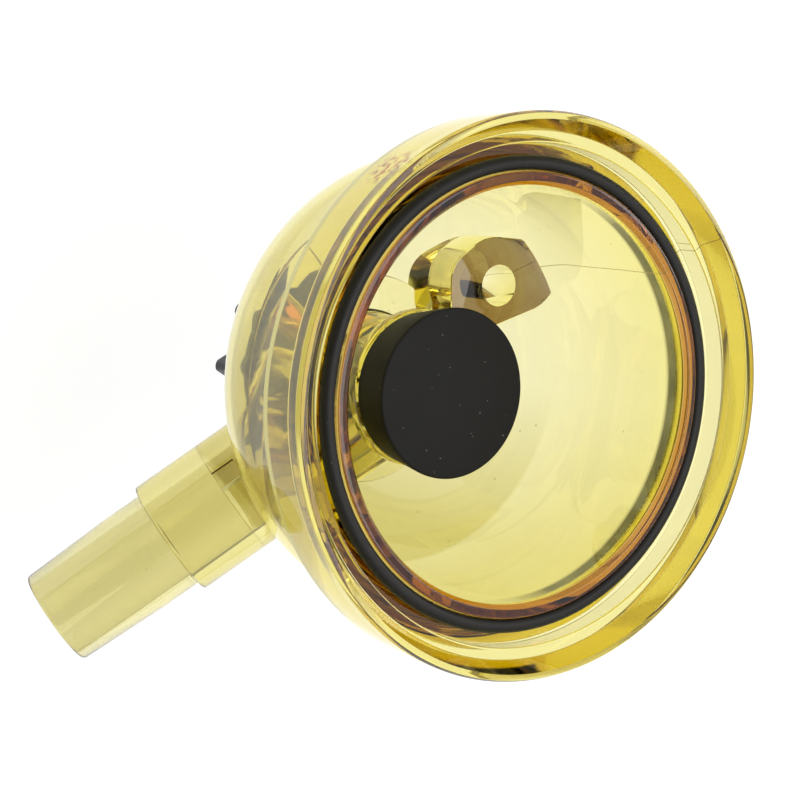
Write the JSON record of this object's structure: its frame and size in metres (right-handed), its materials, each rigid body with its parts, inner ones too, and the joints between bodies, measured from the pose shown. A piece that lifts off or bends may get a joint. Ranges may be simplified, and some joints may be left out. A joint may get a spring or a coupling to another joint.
{
  "type": "milking claw bowl",
  "caption": "Clear amber milking claw bowl with a stepped rim and seal, hand shut-off valve, lobed knob and sloping hose spigot.",
  "frame": {"origin": "centre of the ledge inside the rim, where the claw's top rests, on the bowl's axis", "axes": "+Z along the bowl's axis out of the open rim, +X towards the outlet, +Y across"},
  "size_m": [0.1252, 0.1, 0.0811],
  "materials": {
    "bowl_plastic": "clear amber, moulded and polished",
    "tube_plastic": "clear pale amber, moulded",
    "seal_rubber": "black moulded rubber, satin",
    "plug_rubber": "black moulded rubber, matt and dusty",
    "knob_plastic": "black moulded plastic, satin",
    "bush_plastic": "natural bearing plastic, satin",
    "steel": "stainless, turned"
  },
  "bodies": {
    "bowl": {"bowl": "bowl_plastic", "outlet_tube": "tube_plastic", "rim_seal": "seal_rubber", "stem_bush": "bush_plastic", "stem_seals": "seal_rubber", "bush_clip": "steel"},
    "plug": {"valve_plug": "plug_rubber"},
    "knob": {"valve_stem": "steel", "knob": "knob_plastic", "knob_washer": "steel", "knob_screw": "steel"}
  },
  "joints": [
    {"name": "valve_lift", "type": "slide", "parent": "bowl", "child": "plug", "axis": [0, 0, 1], "range_m": [0, 0.005]},
    {"name": "knob_turn", "type": "hinge", "parent": "plug", "child": "knob", "pos_m": [0.0023, 0, -0.06], "axis": [0, 0, 1], "continuous": true}
  ]
}
